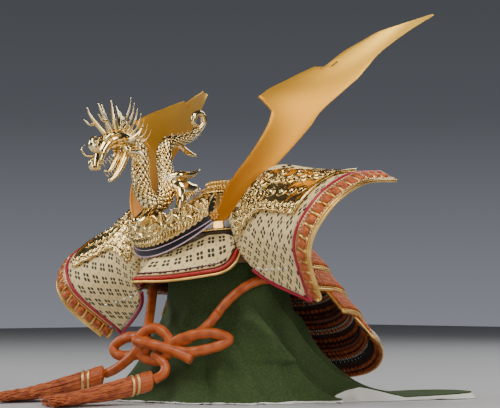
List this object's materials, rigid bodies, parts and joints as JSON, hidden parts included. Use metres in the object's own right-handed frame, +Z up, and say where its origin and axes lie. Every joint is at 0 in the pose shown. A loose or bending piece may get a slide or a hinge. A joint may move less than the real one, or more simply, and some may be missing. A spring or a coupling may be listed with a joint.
{
  "type": "display samurai helmet on a cloth-covered stand",
  "caption": "Laced samurai helmet with gilt horns, dragon crest, turned-back ear flaps, laced neck guard and knotted chin cord, resting on a stand under a crepe cloth.",
  "frame": {"origin": "centre of the flat underside of the wooden stand", "axes": "+Z up, the front of the helmet faces -Y, its right ear flap is at +X"},
  "size_m": [0.3896, 0.3542, 0.3438],
  "materials": {
    "stand_wood": "planed",
    "green_crepe": "matt crepe",
    "black_lacquer": "gloss black lacquer",
    "gold_brocade": "woven",
    "gold_plate": "satin gilt",
    "pale_gold_casting": "bright gilt casting",
    "printed_leather": "printed",
    "red_piping": "smooth",
    "orange_lacing": "braided silk",
    "orange_silk": "braided silk"
  },
  "bodies": {
    "root": {"stand": "stand_wood", "stand_cloth": "green_crepe", "bowl": "black_lacquer", "waist_band": "black_lacquer", "lining_band": "gold_brocade", "crown_ring": "gold_plate", "visor": "printed_leather", "visor_piping": "red_piping", "visor_rim": "gold_plate", "crest_crescent": "black_lacquer", "crest_relief": "pale_gold_casting", "crest_knob_right": "gold_plate", "crest_knob_left": "gold_plate", "horn_right": "gold_plate", "horn_left": "gold_plate", "dragon": "pale_gold_casting", "ear_flap_right": "printed_leather", "flap_piping_right": "red_piping", "flap_lacing_right": "orange_lacing", "flap_rim_right": "gold_plate", "flap_plaque_right": "pale_gold_casting", "ear_flap_left": "printed_leather", "flap_piping_left": "red_piping", "flap_lacing_left": "orange_lacing", "flap_rim_left": "gold_plate", "flap_plaque_left": "pale_gold_casting", "neck_lame_1": "orange_lacing", "neck_lame_2": "orange_lacing", "neck_lame_3": "orange_lacing", "neck_lame_4": "orange_lacing", "chin_cord": "orange_silk", "cord_knot": "orange_silk", "tassel_right": "orange_silk", "tassel_left": "orange_silk"}
  },
  "joints": []
}
